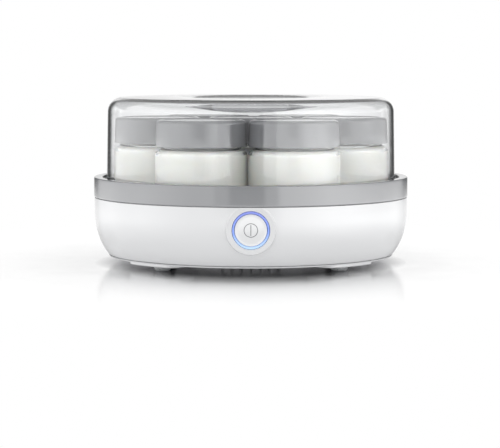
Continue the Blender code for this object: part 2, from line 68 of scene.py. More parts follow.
# Sizes read from the frame
RIM_LOW, RIM_HIGH = node_box("rim_band")
RIM_RADIUS = RIM_HIGH[0]
RIM_BOTTOM = RIM_LOW[2]
RIM_TOP = RIM_HIGH[2]
SHELL_LOW, SHELL_HIGH = node_box("base_shell")
SHELL_RADIUS = SHELL_HIGH[0]
SHELL_BOTTOM = SHELL_LOW[2]
LAP_TOP = SHELL_HIGH[2]
COVER_LOW, COVER_HIGH = node_box("cover")
COVER_RADIUS = COVER_HIGH[0]
COVER_BOTTOM = COVER_LOW[2]
COVER_TOP = COVER_HIGH[2]
LID_LOW, LID_HIGH = node_box("lid_centre")
LID_RADIUS = LID_HIGH[0]
LID_BOTTOM = LID_LOW[2]
LID_TOP = LID_HIGH[2]
JAR_LOW, JAR_HIGH = node_box("jar_centre")
JAR_RADIUS = JAR_HIGH[0]
JAR_BOTTOM = JAR_LOW[2]
NECK_TOP = JAR_HIGH[2]
CAP_LOW, CAP_HIGH = node_box("button_cap")
BUTTON_Z = (CAP_LOW[2] + CAP_HIGH[2]) / 2
BUTTON_FACE = -CAP_LOW[1]
CAP_RADIUS = CAP_HIGH[0]
RING_LOW, RING_HIGH = node_box("light_ring")
LIGHT_RING_OUTER = RING_HIGH[0]
LIGHT_RING_FACE = -RING_LOW[1]
JARS = ("centre", "1", "2", "3", "4", "5", "6")

# Shapes within those sizes: the part's main ones, and the finer edges that only the looks have
GAP = 0.3
LAP_RADIUS = 114.2
SHELL_WALL = 2.4
SHELL_TUCK = 10.4
SHELL_TUCK_START = 46.0
SHELL_TUCK_END = SHELL_BOTTOM - 0.2
SHELL_TUCK_POWER = 2.95
SHELL_EDGE = 1.6
RIM_INNER = 111.0
RIM_TOP_EDGE = 0.9
RIM_BOTTOM_EDGE = 0.7
LEDGE_TOP = COVER_BOTTOM - GAP
TUB_RADIUS = 103.6
TUB_WALL = 2.0
TUB_FLOOR = 33.0
TUB_FILLET = 3.0
TUB_FLANGE_RADIUS = LAP_RADIUS - 2.6
TUB_FLANGE_BOTTOM = 55.6
LOCATOR_TOP = 37.0
LOCATOR_EDGE = 0.8
LOCATOR_FILLET = 0.6
JAR_WALL = 2.4
JAR_FLOOR = 5.0
JAR_SHOULDER = 84.4
NECK_RADIUS = 28.6
NECK_START = 89.0
YOGURT_TOP = 86.8
LID_WALL = 2.0
LID_EDGE = 3.0
LID_SUNK = 0.5
COVER_SHOULDER_RADIUS = COVER_RADIUS - 0.8
COVER_FILLET = 10.8
COVER_WALL = 2.0
COVER_EDGE = 0.5
DISH_RADIUS = 58.0
DISH_DEPTH = 8.4
BUTTON_HOLE = 13.4
BUTTON_HOLE_EDGE = 0.45
BOSS_RADIUS = 17.0
BOSS_EDGE = 1.1
CAP_EDGE = 0.7
CAP_BACK = 113.2
CAP_HOLLOW = 115.0
CAP_STEM_BACK = 112.6
LIGHT_RING_INNER = 11.7
LIGHT_RING_BACK = 110.0
LIGHT_RING_EDGE = 0.45
SYMBOL_OUTER = 4.95
SYMBOL_INNER = 4.55
SYMBOL_FACE = BUTTON_FACE - 0.2
SYMBOL_BACK = BUTTON_FACE - 0.6
SYMBOL_BAR_WIDTH = 0.45
SYMBOL_BAR_LENGTH = 7.7
GLAND_RADIUS = 6.8
GLAND_PAD = 114.3
GLAND_HOLE = 5.0
GLAND_BORE = 3.5
GLAND_EDGE = 0.6
PLATE_TOP = 8.3
PLATE_BOTTOM = 5.7
PLATE_LIP_INNER = 101.6
PLATE_LIP_OUTER = 103.6
PLATE_LIP_TOP = 12.0
SCREW_HOLE = 2.1
SCREW_SEAT = 3.9
SCREW_SEAT_DEPTH = 1.2
SLOT_COUNT = 7
SLOT_PITCH = 7.0
SLOT_HALF_WIDTH = 1.2
SLOT_REACH = 14.8
PAD_BOTTOM = 4.0
PAD_EDGE = 0.9
PAD_CENTRE = 91.0
PAD_HALF_WIDTH = 25.0
PAD_HALF_DEPTH = 15.5
PAD_REACH = 106.2
PAD_STEPS = 120
FOOT_HOLE = 3.4
FEET = ("front_left", "front_right", "rear_left", "rear_right")

# Where the cutters start and end: outside the shell, inside it, and above the floor plate
CUT_OUTSIDE = 125.0
CUT_INSIDE = 100.0
CUT_ABOVE = 12.5

FACING_FRONT = (math.pi / 2, 0.0, 0.0)
FACING_BACK = (-math.pi / 2, 0.0, 0.0)


# Mesh tools

def add_object(name, mesh, look):
    obj = bpy.data.objects.new(name, mesh)
    bpy.context.scene.collection.objects.link(obj)
    mesh.materials.append(look)
    return obj


def smooth(obj, angle=35.0):
    obj.data.shade_smooth()
    obj.data.set_sharp_from_angle(angle=math.radians(angle))


def lathe(profile, steps, closed=False):
    """Vertices and faces of a solid of revolution about Z. The profile runs down its outer side."""
    verts = []
    rows = []
    for radius, height in profile:
        if radius == 0:
            rows.append([len(verts)] * steps)
            verts.append((0.0, 0.0, MM * height))
            continue
        rows.append([len(verts) + n for n in range(steps)])
        for n in range(steps):
            angle = 2 * math.pi * n / steps
            verts.append((MM * radius * math.cos(angle), MM * radius * math.sin(angle), MM * height))
    faces = []
    pairs = list(zip(rows, rows[1:]))
    if closed:
        pairs.append((rows[-1], rows[0]))
    for upper, lower in pairs:
        for n in range(steps):
            m = (n + 1) % steps
            corners = [upper[n], lower[n], lower[m], upper[m]]
            corners = [c for k, c in enumerate(corners) if c not in corners[:k]]
            if len(corners) > 2:
                faces.append(corners)
    return verts, faces


def turned(name, profile, look, steps=96, closed=False, at=(0.0, 0.0, 0.0), facing=None):
    verts, faces = lathe(profile, steps, closed)
    mesh = bpy.data.meshes.new(name)
    mesh.from_pydata(verts, [], faces)
    obj = add_object(name, mesh, look)
    smooth(obj)
    obj.location = [MM * value for value in at]
    if facing:
        obj.rotation_euler = facing
    return obj


def ring_solid(name, rings, look):
    """A closed solid from outlines with equally many points, down its outer side and up its inner."""
    verts = [[MM * value for value in point] for ring in rings for point in ring]
    width = len(rings[0])
    faces = []
    for n in range(len(rings)):
        upper, lower = n * width, (n + 1) % len(rings) * width
        for k in range(width):
            m = (k + 1) % width
            faces.append((upper + k, lower + k, lower + m, upper + m))
    mesh = bpy.data.meshes.new(name)
    mesh.from_pydata(verts, [], faces)
    return add_object(name, mesh, look)


def arc(centre, radius, start, end, count):
    """Points on an arc about (radius, height), between two angles in degrees."""
    angles = [math.radians(start + (end - start) * n / count) for n in range(count + 1)]
    return [(centre[0] + radius * math.cos(a), centre[1] + radius * math.sin(a)) for a in angles]


def offset(points, distance):
    """The profile moved inward, to the right of its direction. Points on the axis stay on it."""
    moved = []
    for n, (radius, height) in enumerate(points):
        sides = []
        for a, b in ((n - 1, n), (n, n + 1)):
            if a >= 0 and b < len(points):
                step = Vector(points[b]) - Vector(points[a])
                sides.append(Vector((step.y, -step.x)).normalized())
        normal = sum(sides, Vector((0.0, 0.0))).normalized()
        reach = distance / normal.dot(sides[0])
        moved.append((radius + normal.x * reach if radius else 0.0, height + normal.y * reach))
    return moved


def cut(obj, cutter):
    """Cuts a shape out of an object and leaves no modifier behind."""
    step = obj.modifiers.new("cut", "BOOLEAN")
    step.operation = "DIFFERENCE"
    step.object = cutter
    step.solver = "EXACT"
    apply_modifiers(obj)
    bpy.data.objects.remove(cutter, do_unlink=True)


def apply_modifiers(obj):
    bpy.context.view_layer.update()
    graph = bpy.context.evaluated_depsgraph_get()
    mesh = bpy.data.meshes.new_from_object(obj.evaluated_get(graph))
    old = obj.data
    obj.modifiers.clear()
    obj.data = mesh
    bpy.data.meshes.remove(old)


# Materials

class Look:
    """A material under construction, with short ways to add and join nodes."""

    def __init__(self, name):
        self.material = bpy.data.materials.new(name)
        self.material.use_nodes = True
        self.tree = self.material.node_tree
        self.shader = self.tree.nodes["Principled BSDF"]
        self.output = self.tree.nodes["Material Output"]
        self.place = self.node("ShaderNodeTexCoord").outputs["Object"]

    def node(self, kind, **settings):
        made = self.tree.nodes.new(kind)
        for key, value in settings.items():
            setattr(made, key, value)
        return made

    def join(self, source, target):
        self.tree.links.new(source, target)

    def set(self, **values):
        for key, value in values.items():
            self.shader.inputs[key.replace("_", " ")].default_value = value

    def noise(self, scale, detail=3.0):
        made = self.node("ShaderNodeTexNoise")
        made.inputs["Scale"].default_value = scale
        made.inputs["Detail"].default_value = detail
        self.join(self.place, made.inputs["Vector"])
        return made.outputs["Fac"]

    def span(self, source, low, high, out_low, out_high):
        made = self.node("ShaderNodeMapRange")
        ends = {"From Min": low, "From Max": high, "To Min": out_low, "To Max": out_high}
        for key, value in ends.items():
            made.inputs[key].default_value = value
        self.join(source, made.inputs["Value"])
        return made.outputs["Result"]

    def blend(self, factor, first, second):
        made = self.node("ShaderNodeMix", data_type="RGBA")
        made.inputs["A"].default_value = (*first, 1.0)
        made.inputs["B"].default_value = (*second, 1.0)
        self.join(factor, made.inputs["Factor"])
        return made.outputs["Result"]

    def bump(self, height, distance, strength=1.0):
        made = self.node("ShaderNodeBump")
        made.inputs["Distance"].default_value = distance
        made.inputs["Strength"].default_value = strength
        self.join(height, made.inputs["Height"])
        self.join(made.outputs["Normal"], self.shader.inputs["Normal"])

    def colour(self, source):
        self.join(source, self.shader.inputs["Base Color"])

    def roughness(self, source):
        self.join(source, self.shader.inputs["Roughness"])


def moulded_plastic(name, colour, roughness, tone=0.015, grain=0.00001, shine=0.5):
    """Moulded plastic: slightly uneven tone and gloss, with a fine spark-eroded grain."""
    look = Look(name)
    low = tuple(max(0.0, value - tone) for value in colour)
    high = tuple(min(1.0, value + tone) for value in colour)
    look.colour(look.blend(look.noise(9.0, 2.0), low, high))
    look.roughness(look.span(look.noise(60.0, 4.0), 0.3, 0.7, roughness - 0.03, roughness + 0.03))
    look.bump(look.noise(2600.0, 2.0), grain)
    look.set(IOR=1.5, Specular_IOR_Level=shine)
    return look.material


def let_lamps_through(look, tint):
    """Light reaches what is behind the glass: shadow rays pass straight through it."""
    path = look.node("ShaderNodeLightPath")
    clear = look.node("ShaderNodeBsdfTransparent")
    clear.inputs["Color"].default_value = (*tint, 1.0)
    mix = look.node("ShaderNodeMixShader")
    look.join(path.outputs["Is Shadow Ray"], mix.inputs["Fac"])
    look.join(look.shader.outputs["BSDF"], mix.inputs[1])
    look.join(clear.outputs["BSDF"], mix.inputs[2])
    look.join(mix.outputs["Shader"], look.output.inputs["Surface"])


def clear_plastic():
    look = Look("clear_cover_plastic")
    look.set(Transmission_Weight=1.0, IOR=1.49, Roughness=0.0)
    look.colour(look.blend(look.noise(5.0, 2.0), (0.89, 0.895, 0.9), (0.91, 0.915, 0.92)))
    look.roughness(look.span(look.noise(14.0, 3.0), 0.35, 0.75, 0.0, 0.02))
    look.bump(look.noise(22.0, 1.0), 0.00002, 0.4)
    let_lamps_through(look, (0.82, 0.825, 0.83))
    return look.material


def jar_glass():
    look = Look("jar_glass")
    look.set(Transmission_Weight=1.0, IOR=1.52, Specular_IOR_Level=0.2)
    look.colour(look.blend(look.noise(20.0, 2.0), (0.98, 0.99, 0.98), (0.985, 0.995, 0.985)))
    look.roughness(look.span(look.noise(40.0, 2.0), 0.3, 0.8, 0.0, 0.03))
    look.bump(look.noise(35.0, 2.0), 0.0001, 0.5)
    let_lamps_through(look, (0.9, 0.92, 0.89))
    return look.material


def yogurt_look():
    look = Look("set_yogurt")
    look.colour(look.blend(look.noise(45.0, 4.0), (0.955, 0.95, 0.9), (0.975, 0.97, 0.925)))
    look.roughness(look.span(look.noise(120.0, 3.0), 0.3, 0.7, 0.32, 0.5))
    look.bump(look.noise(160.0, 3.0), 0.0002, 0.3)
    look.set(Subsurface_Weight=0.2, Subsurface_Radius=(0.004, 0.003, 0.002), Subsurface_Scale=1.0)
    look.set(IOR=1.36)
    return look.material


def light_ring_look():
    """The ring's light: violet-blue above, paler and bluer below."""
    look = Look("light_ring_guide")
    split = look.node("ShaderNodeSeparateXYZ")
    look.join(look.place, split.inputs["Vector"])
    ramp = look.node("ShaderNodeValToRGB")
    reach = MM * LIGHT_RING_OUTER
    look.join(look.span(split.outputs["Y"], -reach, reach, 0.0, 1.0), ramp.inputs["Fac"])
    stops = ramp.color_ramp.elements
    stops[0].color = (0.45, 0.62, 0.85, 1.0)
    stops[1].color = (0.2, 0.24, 0.62, 1.0)
    middle = stops.new(0.45)
    middle.color = (0.2, 0.3, 0.7, 1.0)
    look.colour(ramp.outputs["Color"])
    look.join(ramp.outputs["Color"], look.shader.inputs["Emission Color"])
    look.roughness(look.span(look.noise(300.0, 2.0), 0.3, 0.7, 0.2, 0.35))
    look.set(Emission_Strength=0.35, IOR=1.49)
    return look.material


def rubber_look():
    look = Look("foot_silicone")
    look.colour(look.blend(look.noise(90.0, 3.0), (0.7, 0.71, 0.72), (0.8, 0.81, 0.82)))
    look.roughness(look.span(look.noise(200.0, 2.0), 0.3, 0.7, 0.25, 0.4))
    look.bump(look.noise(900.0, 2.0), 0.00003)
    look.set(Transmission_Weight=0.35, IOR=1.41)
    return look.material


def metal(name, colour, roughness, scale=(400.0, 400.0, 12.0)):
    """Metal with fine drawn lines."""
    look = Look(name)
    stretch = look.node("ShaderNodeMapping")
    stretch.inputs["Scale"].default_value = scale
    look.join(look.place, stretch.inputs["Vector"])
    lines = look.node("ShaderNodeTexNoise")
    lines.inputs["Scale"].default_value = 3.0
    look.join(stretch.outputs["Vector"], lines.inputs["Vector"])
    dark = tuple(0.85 * value for value in colour)
    look.colour(look.blend(lines.outputs["Fac"], dark, colour))
    look.roughness(look.span(lines.outputs["Fac"], 0.3, 0.7, roughness - 0.08, roughness + 0.08))
    look.bump(lines.outputs["Fac"], 0.00002)
    look.set(Metallic=1.0)
    return look.material


def woven(name, colour, scale, roughness):
    """Board and mat materials: a fine crossing weave under the colour."""
    look = Look(name)
    waves = []
    for direction in ("X", "Y"):
        wave = look.node("ShaderNodeTexWave", bands_direction=direction)
        wave.inputs["Scale"].default_value = scale
        look.join(look.place, wave.inputs["Vector"])
        waves.append(wave.outputs["Fac"])
    cross = look.node("ShaderNodeMath", operation="MULTIPLY")
    look.join(waves[0], cross.inputs[0])
    look.join(waves[1], cross.inputs[1])
    dark = tuple(0.8 * value for value in colour)
    look.colour(look.blend(cross.outputs["Value"], dark, colour))
    look.bump(cross.outputs["Value"], 0.00005)
    look.set(Roughness=roughness)
    return look.material


WHITE = moulded_plastic("white_gloss_plastic", (0.655, 0.66, 0.67), 0.12, 0.006, shine=1.0)
CAP_WHITE = moulded_plastic("cap_white_plastic", (0.745, 0.75, 0.76), 0.12, 0.006, shine=1.0)
INNER_WHITE = moulded_plastic("tub_white_plastic", (0.82, 0.825, 0.83), 0.35, 0.01)
GREY = moulded_plastic("rim_grey_plastic", (0.22, 0.226, 0.236), 0.06, 0.005, shine=1.0)
LID_GREY = moulded_plastic("lid_grey_plastic", (0.28, 0.285, 0.3), 0.09, 0.006, 0.000003, 0.75)
BLACK = moulded_plastic("black_plastic", (0.025, 0.025, 0.027), 0.4, 0.004)
COMPONENT = moulded_plastic("component_white", (0.78, 0.78, 0.75), 0.5, 0.03)
SLEEVE = moulded_plastic("wire_sleeve", (0.7, 0.7, 0.68), 0.45, 0.03)
PRINT = moulded_plastic("symbol_print", (0.12, 0.125, 0.135), 0.45)
CLEAR = clear_plastic()
GLASS = jar_glass()
YOGURT = yogurt_look()
LIGHT = light_ring_look()
SILICONE_FOOT = rubber_look()
STEEL = metal("zinc_steel", (0.62, 0.62, 0.6), 0.3)
ALUMINIUM = metal("rolled_aluminium", (0.78, 0.78, 0.78), 0.35, (12.0, 400.0, 400.0))
LAMINATE = woven("green_laminate", (0.03, 0.2, 0.07), 500.0, 0.4)
HEATER = woven("heater_silicone", (0.45, 0.11, 0.07), 260.0, 0.6)
FIBRE = woven("mineral_board", (0.55, 0.51, 0.42), 150.0, 0.9)

NODE_LOOKS = {
    "white_plastic": INNER_WHITE,
    "grey_plastic": GREY,
    "lid_plastic": LID_GREY,
    "clear_plastic": CLEAR,
    "jar_glass": GLASS,
    "foot_rubber": SILICONE_FOOT,
    "light_guide": LIGHT,
    "zinc_steel": STEEL,
    "aluminium": ALUMINIUM,
    "heater_silicone": HEATER,
    "mineral_board": FIBRE,
    "board_laminate": LAMINATE,
    "component_white": COMPONENT,
    "black_plastic": BLACK,
    "wire_sleeve": SLEEVE,
}


def dress_nodes():
    """Gives every CAD node the procedural material of its slot."""
    slots = {row["node"]: row["material_slot"] for row in frame["record"]["subparts"]}
    for name, node in frame["nodes"].items():
        look = NODE_LOOKS[slots[name]]
        node.data.materials.clear()
        node.data.materials.append(look)


def settle(obj, body, slot, *nodes):
    """Rides a finished piece on its body, and lets it stand for its CAD nodes."""
    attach(obj, body)
    if nodes:
        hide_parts(*nodes)
    return obj


# Base

def shell_radius(height):
    """The base's outer radius at a height: nearly upright, then tucked in towards the floor."""
    fall = max(0.0, SHELL_TUCK_START - height) / (SHELL_TUCK_START - SHELL_TUCK_END)
    return SHELL_RADIUS - SHELL_TUCK * fall**SHELL_TUCK_POWER


def ease(share):
    share = min(1.0, max(0.0, share))
    return share * share * (3 - 2 * share)


def boss_point(x, y, z):
    """Moves a point of the shell's front out to the flat round boss about the button."""
    if y > 0:
        return y
    away = math.hypot(x, z - BUTTON_Z)
    share = ease((BOSS_RADIUS + BOSS_EDGE - away) / BOSS_EDGE)
    return y + (min(y, -BUTTON_FACE) - y) * share


def shell_columns():
    """Angles round the shell, close together at the front where the boss is."""
    step, reach, far_count = 0.14, 75, 200
    near = [math.radians(-90 + step * n) for n in range(-reach, reach + 1)]
    first, last = near[0], near[-1]
    rest = 2 * math.pi - (last - first)
    return near + [last + rest * n / far_count for n in range(1, far_count)]


def shell_rows():
    """The shell's outer line, from the joint under the rim to the rounded bottom edge."""
    rows = [(SHELL_RADIUS - 0.25, RIM_BOTTOM - GAP), (SHELL_RADIUS, RIM_BOTTOM - 0.55)]
    top = RIM_BOTTOM - 0.9
    bottom = SHELL_BOTTOM + SHELL_EDGE
    count = 150
    heights = [top + (bottom - top) * n / count for n in range(count + 1)]
    rows += [(shell_radius(height), height) for height in heights]
    foot = shell_radius(bottom)
    rows += [(foot - 0.55, SHELL_BOTTOM + 0.85), (foot - 1.05, SHELL_BOTTOM + 0.35)]
    return rows + [(foot - SHELL_EDGE, SHELL_BOTTOM)]


def make_shell():
    """The white casing: its outer face with the button's boss, and a plain inner face."""
    lap_inner = LAP_RADIUS - 2.3
    lap = [(lap_inner, LAP_TOP), (LAP_RADIUS, LAP_TOP), (LAP_RADIUS, RIM_BOTTOM - GAP)]
    outside = shell_rows()
    heights = (38.0, 30.0, 24.0, 18.0, 13.0, 9.5)
    inside = [(lap_inner, 46.5), (SHELL_RADIUS - SHELL_WALL, 44.0)]
    inside += [(shell_radius(height) - SHELL_WALL - 0.4, height) for height in heights]
    inside.append((shell_radius(SHELL_BOTTOM) - SHELL_WALL - 0.3, SHELL_BOTTOM))
    profile = lap + outside + inside[::-1]
    angles = shell_columns()
    rings = []
    for n, (radius, height) in enumerate(profile):
        ring = [(radius * math.cos(angle), radius * math.sin(angle), height) for angle in angles]
        if len(lap) <= n < len(lap) + len(outside):
            ring = [(x, boss_point(x, y, z), z) for x, y, z in ring]
        rings.append(ring)
    shell = ring_solid("shell_casing", rings, WHITE)
    cut_button_hole(shell)
    cut_gland_hole(shell)
    smooth(shell, 32.0)
    settle(shell, "base", "white_plastic", "base_shell")


def cut_button_hole(shell):
    """The hole for the light ring and the cap, with a rounded rim."""
    edge = BUTTON_HOLE_EDGE
    radius = BUTTON_HOLE + edge
    profile = [(0, CUT_OUTSIDE), (radius, CUT_OUTSIDE), (radius, BUTTON_FACE)]
    profile += arc((radius, BUTTON_FACE - edge), edge, 90, 180, 5)[1:]
    profile += [(BUTTON_HOLE, CUT_INSIDE), (0, CUT_INSIDE)]
    cutter = turned("button_hole", profile, WHITE, 160, at=(0, 0, BUTTON_Z), facing=FACING_FRONT)
    cut(shell, cutter)


def cut_gland_hole(shell):
    """The hole for the cord's bush, with the recess that its flange sits in."""
    low, high = node_box("cord_gland")
    height = (low[2] + high[2]) / 2
    radius = (high[2] - low[2]) / 2 + GAP
    profile = [(0, CUT_OUTSIDE), (radius, CUT_OUTSIDE), (radius, GLAND_PAD), (GLAND_HOLE, GLAND_PAD)]
    profile += [(GLAND_HOLE, CUT_INSIDE), (0, CUT_INSIDE)]
    cutter = turned("gland_hole", profile, WHITE, 96, at=(0, 0, height), facing=FACING_BACK)
    cut(shell, cutter)


def make_rim():
    """The grey band: outer face, underside over the shell's lap, and the ledge the cover stands on."""
    edge, foot, fillet = RIM_TOP_EDGE, RIM_BOTTOM_EDGE, 0.6
    profile = arc((RIM_RADIUS - edge, RIM_TOP - edge), edge, 90, 0, 6)
    profile += [(RIM_RADIUS, RIM_TOP - 2 * edge), (RIM_RADIUS, RIM_BOTTOM + 2 * foot)]
    profile += arc((RIM_RADIUS - foot, RIM_BOTTOM + foot), foot, 0, -90, 6)
    profile += [
        (LAP_RADIUS + 0.4, RIM_BOTTOM),
        (LAP_RADIUS + 0.4, LAP_TOP + GAP),
        (TUB_RADIUS + TUB_WALL + 0.4, LAP_TOP + GAP),
    ]
    profile += arc((TUB_RADIUS + TUB_WALL + 1.0, LEDGE_TOP - fillet), fillet, 180, 90, 4)
    profile += arc((RIM_INNER - fillet, LEDGE_TOP + fillet), fillet, -90, 0, 4)
    profile += arc((RIM_INNER + 0.8, RIM_TOP - 0.8), 0.8, 180, 90, 5)
    rim = turned("grey_rim", profile, GREY, 288, closed=True)
    settle(rim, "base", "grey_plastic", "rim_band")


def make_tub():
    """The inner tub, from the middle of its floor over its flange and back along its underside."""
    outer = TUB_RADIUS + TUB_WALL
    underside = TUB_FLOOR - TUB_WALL
    profile = [(0, TUB_FLOOR)]
    profile += arc((TUB_RADIUS - TUB_FILLET, TUB_FLOOR + TUB_FILLET), TUB_FILLET, -90, 0, 6)
    profile += arc((TUB_RADIUS + 0.8, LAP_TOP - 0.8), 0.8, 180, 90, 4)
    profile += [
        (TUB_FLANGE_RADIUS, LAP_TOP),
        (TUB_FLANGE_RADIUS, TUB_FLANGE_BOTTOM),
        (outer, TUB_FLANGE_BOTTOM),
        (outer, underside + TUB_FILLET),
        (outer - TUB_FILLET, underside),
        (0, underside),
    ]
    tub = turned("jar_tub", profile, INNER_WHITE, 192)
    settle(tub, "base", "white_plastic", "inner_tub")


def make_locators():
    """Rounded bosses on the tub's floor, one between each three neighbouring jars."""
    edge, fillet = LOCATOR_EDGE, LOCATOR_FILLET
    profile = [(0, LOCATOR_TOP)] + arc((3.8, LOCATOR_TOP - edge), edge, 90, 0, 4)
    profile += [(4.8, TUB_FLOOR + fillet)]
    profile += arc((5.4, TUB_FLOOR + fillet), fillet, 180, 270, 4)[1:]
    profile += [(5.4, TUB_FLOOR - 0.4), (0, TUB_FLOOR - 0.4)]
    ring = [node_centre(f"jar_{n}") for n in range(1, 7)]
    for n in range(6):
        x = (ring[n][0] + ring[n - 1][0]) / 3
        y = (ring[n][1] + ring[n - 1][1]) / 3
        boss = turned(f"jar_locator_{n + 1}", profile, INNER_WHITE, 40, at=(x, y, 0.0))
        settle(boss, "base", "white_plastic")


def make_button():
    """The cap: slightly dished face, round edge, and a hollow back with a stem."""
    cap = [(0, BUTTON_FACE - 0.35), (5.0, BUTTON_FACE - 0.3), (8.6, BUTTON_FACE - 0.12)]
    cap += arc((CAP_RADIUS - CAP_EDGE, BUTTON_FACE - CAP_EDGE), CAP_EDGE, 90, 0, 6)
    cap += [(CAP_RADIUS, CAP_BACK), (9.8, CAP_BACK), (9.8, CAP_HOLLOW)]
    cap += [(2.4, CAP_HOLLOW), (2.4, CAP_STEM_BACK), (0, CAP_STEM_BACK)]
    at = (0, 0, BUTTON_Z)
    button = turned("power_cap", cap, CAP_WHITE, 128, at=at, facing=FACING_FRONT)
    settle(button, "power_button", "white_plastic", "button_cap")


def make_light_ring():
    edge = LIGHT_RING_EDGE
    ring = arc((LIGHT_RING_OUTER - edge, LIGHT_RING_FACE - edge), edge, 90, 0, 4)
    ring += [(LIGHT_RING_OUTER, LIGHT_RING_BACK), (LIGHT_RING_INNER, LIGHT_RING_BACK)]
    ring += arc((LIGHT_RING_INNER + edge, LIGHT_RING_FACE - edge), edge, 180, 90, 4)
    at = (0, 0, BUTTON_Z)
    light = turned("glow_ring", ring, LIGHT, 160, closed=True, at=at, facing=FACING_FRONT)
    settle(light, "base", "light_guide", "light_ring")


def make_gland():
    """The bush in the shell's back, open for a cord."""
    low, high = node_box("cord_gland")
    face, edge = high[1], GLAND_EDGE
    seat, neck = GLAND_PAD + GAP, GLAND_HOLE - GAP
    profile = arc((GLAND_RADIUS - edge, face - edge), edge, 90, 0, 6)
    profile += [(GLAND_RADIUS, seat), (neck, seat), (neck, 110.2), (6.4, 110.2), (6.4, low[1])]
    profile += [(GLAND_BORE, low[1])] + arc((GLAND_BORE + edge, face - edge), edge, 180, 90, 6)
    at = (0, 0, (low[2] + high[2]) / 2)
    gland = turned("cord_bush", profile, BLACK, 96, closed=True, at=at, facing=FACING_BACK)
    settle(gland, "base", "black_plastic", "cord_gland")


def make_symbol():
    """The power symbol: a thin circle and a bar, standing 0.1 mm proud of the cap."""
    front, back = SYMBOL_FACE, SYMBOL_BACK
    profile = [(SYMBOL_OUTER, front), (SYMBOL_OUTER, back), (SYMBOL_INNER, back), (SYMBOL_INNER, front)]
    at = (0, 0, BUTTON_Z)
    circle = turned("symbol_circle", profile, PRINT, 96, closed=True, at=at, facing=FACING_FRONT)
    settle(circle, "power_button", "white_plastic")
    mesh = bpy.data.meshes.new("symbol_bar")
    shape = bmesh.new()
    bmesh.ops.create_cube(shape, size=1.0)
    size = (MM * SYMBOL_BAR_WIDTH, MM * (front - back), MM * SYMBOL_BAR_LENGTH)
    bmesh.ops.scale(shape, vec=size, verts=shape.verts)
    bmesh.ops.bevel(shape, geom=shape.edges[:], offset=MM * 0.08, segments=2, affect="EDGES")
    shape.to_mesh(mesh)
    shape.free()
    bar = add_object("symbol_bar", mesh, PRINT)
    bar.location = (0.0, -MM * (front + back) / 2, MM * BUTTON_Z)
    settle(bar, "power_button", "white_plastic")


def make_floor_plate():
    """The floor plate's lip and underside, with its screw seats, foot holes and vent slots."""
    edge = 0.7
    profile = [(0, PLATE_TOP), (PLATE_LIP_INNER, PLATE_TOP), (PLATE_LIP_INNER, PLATE_LIP_TOP)]
    profile += [(PLATE_LIP_OUTER, PLATE_LIP_TOP), (PLATE_LIP_OUTER, SHELL_BOTTOM - GAP)]
    profile += [(105.6, SHELL_BOTTOM - GAP), (106.3, SHELL_BOTTOM - 0.5), (106.5, PLATE_BOTTOM + edge)]
    profile += arc((105.7, PLATE_BOTTOM + edge), edge, -10, -90, 6) + [(0, PLATE_BOTTOM)]
    plate = turned("floor_plate", profile, WHITE, 256)
    for place in FEET:
        drill(plate, node_centre(f"foot_{place}"), FOOT_HOLE, CUT_ABOVE)
    for n in range(4):
        centre = node_centre(f"base_screw_{n + 1}")
        drill(plate, centre, SCREW_HOLE, CUT_ABOVE)
        drill(plate, centre, SCREW_SEAT, PLATE_BOTTOM + SCREW_SEAT_DEPTH)
    for n in range(SLOT_COUNT):
        cut(plate, slot_cutter(SLOT_PITCH * (n - SLOT_COUNT // 2)))
    smooth(plate, 32.0)
    settle(plate, "base", "white_plastic", "bottom_cover")


def drill(plate, centre, radius, top):
    profile = [(0, top), (radius, top), (radius, 0.0), (0, 0.0)]
    cut(plate, turned("drill", profile, WHITE, 48, at=(*centre, 0.0)))


def slot_cutter(x):
    """A long slot with round ends, right through the plate."""
    outline = arc((x, SLOT_REACH), SLOT_HALF_WIDTH, 0, 180, 12)
    outline += arc((x, -SLOT_REACH), SLOT_HALF_WIDTH, 180, 360, 12)
    rings = [[(px, py, z) for px, py in outline] for z in (CUT_ABOVE, 0.0)]
    count = len(outline)
    cutter = ring_solid("slot", rings, WHITE)
    shape = bmesh.new()
    shape.from_mesh(cutter.data)
    bmesh.ops.delete(shape, geom=shape.faces[count:], context="FACES_ONLY")
    bmesh.ops.holes_fill(shape, edges=shape.edges[:], sides=0)
    bmesh.ops.recalc_face_normals(shape, faces=shape.faces)
    shape.to_mesh(cutter.data)
    shape.free()
    return cutter


def squared(value):
    """Pushes a circle's cosine or sine outward, for an outline between a circle and a rectangle."""
    return math.copysign(abs(value)**0.6, value)


def foot_directions(foot):
    """The way along the plate's edge and the way outward, at a foot."""
    outward = Vector(foot).normalized()
    return Vector((outward.y, -outward.x)), outward


def pad_outline(foot, inset, z):
    """A rounded rectangle about the foot, kept within the plate's edge."""
    along, outward = foot_directions(foot)
    ring = []
    for n in range(PAD_STEPS):
        angle = 2 * math.pi * n / PAD_STEPS
        side = (PAD_HALF_WIDTH - inset) * squared(math.cos(angle))
        out = PAD_CENTRE + (PAD_HALF_DEPTH - inset) * squared(math.sin(angle))
        corner = along * side + outward * out
        corner *= min(1.0, (PAD_REACH - inset) / corner.length)
        ring.append((corner.x, corner.y, z))
    return ring


def foot_hole(foot, z):
    """The foot's hole through its pad, with as many points as the pad's outline."""
    along, outward = foot_directions(foot)
    ring = []
    for n in range(PAD_STEPS):
        angle = 2 * math.pi * n / PAD_STEPS
        corner = Vector(foot) + FOOT_HOLE * (along * math.cos(angle) + outward * math.sin(angle))
        ring.append((corner.x, corner.y, z))
    return ring


